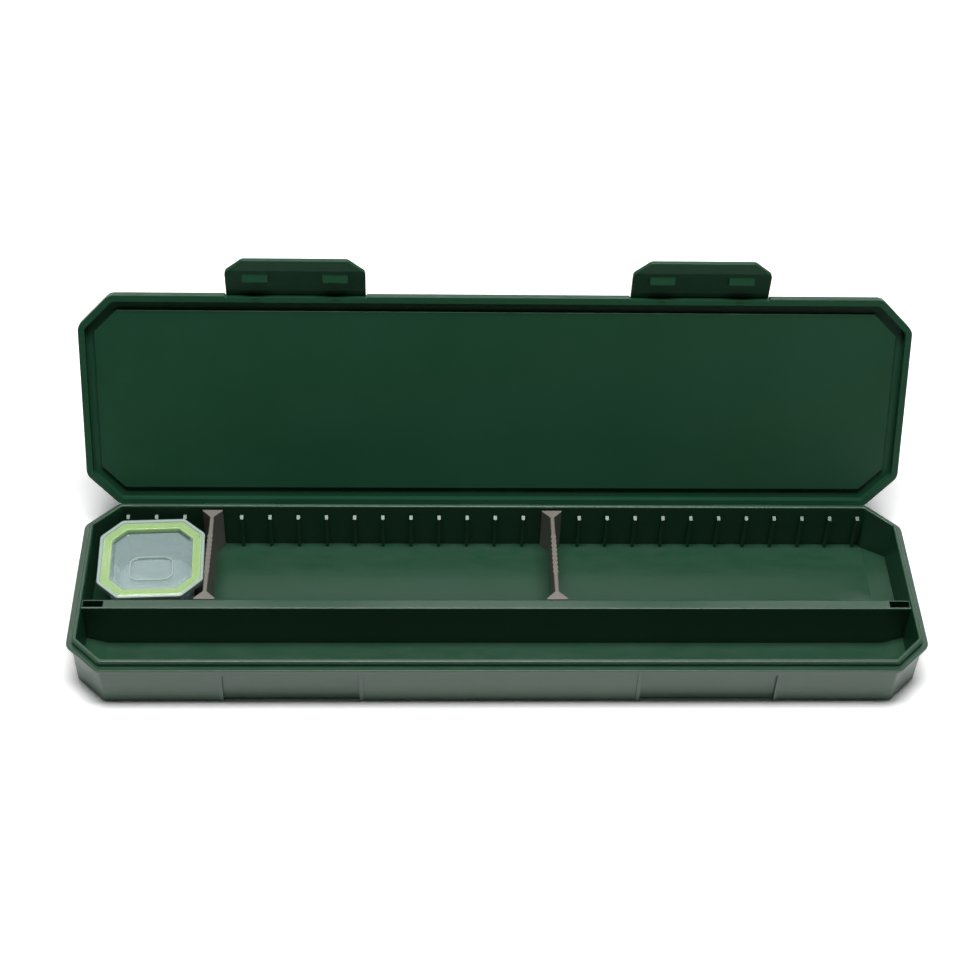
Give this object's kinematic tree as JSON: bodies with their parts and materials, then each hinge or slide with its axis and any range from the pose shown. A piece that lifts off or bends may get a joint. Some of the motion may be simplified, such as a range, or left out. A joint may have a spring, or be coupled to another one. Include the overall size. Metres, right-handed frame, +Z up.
{
  "type": "float and accessory box",
  "caption": "Long flat tackle box with cut corners, hinged lid, hooked latch flaps, a lengthwise partition, lift-out dividers and a small lidded bit box.",
  "frame": {"origin": "middle of the flat underside of the base", "axes": "+X along the box to the right as one faces its latches, +Y towards the hinges, +Z up"},
  "size_m": [0.3816, 0.1494, 0.132],
  "materials": {
    "green_plastic": "fine-textured dark green moulded plastic",
    "grey_plastic": "plain grey moulded plastic",
    "pin_steel": "plain steel wire",
    "clear_plastic": "clear polished plastic",
    "lime_rubber": "smooth lime green soft rubber"
  },
  "bodies": {
    "base": {"base_tray": "green_plastic", "hinge_pin_left": "pin_steel", "hinge_pin_middle": "pin_steel", "hinge_pin_right": "pin_steel"},
    "lid": {"lid": "green_plastic"},
    "left_latch": {"latch_left": "green_plastic"},
    "right_latch": {"latch_right": "green_plastic"},
    "left_divider": {"divider_left": "grey_plastic"},
    "right_divider": {"divider_right": "grey_plastic"},
    "bit_box": {"bit_box_tub": "clear_plastic"},
    "bit_box_cover": {"bit_box_lid": "clear_plastic", "bit_box_seal": "lime_rubber"}
  },
  "joints": [
    {"name": "lid_hinge", "type": "hinge", "parent": "base", "child": "lid", "pos_m": [0, 0.0512, 0.0204], "axis": [-1, 0, 0], "range_deg": [-112.5, 0]},
    {"name": "left_latch_hinge", "type": "hinge", "parent": "lid", "child": "left_latch", "pos_m": [-0.0919, 0.09771, 0.11257], "axis": [-1, 0, 0], "range_deg": [-63, 40]},
    {"name": "right_latch_hinge", "type": "hinge", "parent": "lid", "child": "right_latch", "pos_m": [0.0919, 0.09771, 0.11257], "axis": [-1, 0, 0], "range_deg": [-63, 40]},
    {"name": "left_divider_lift", "type": "slide", "parent": "base", "child": "left_divider", "axis": [0, 0, 1], "range_m": [0, 0.03]},
    {"name": "right_divider_lift", "type": "slide", "parent": "base", "child": "right_divider", "axis": [0, 0, 1], "range_m": [0, 0.03]},
    {"name": "bit_box_lift", "type": "slide", "parent": "base", "child": "bit_box", "axis": [0, 0, 1], "range_m": [0, 0.03]},
    {"name": "bit_box_cover_lift", "type": "slide", "parent": "bit_box", "child": "bit_box_cover", "axis": [0, 0, 1], "range_m": [0, 0.015]}
  ]
}
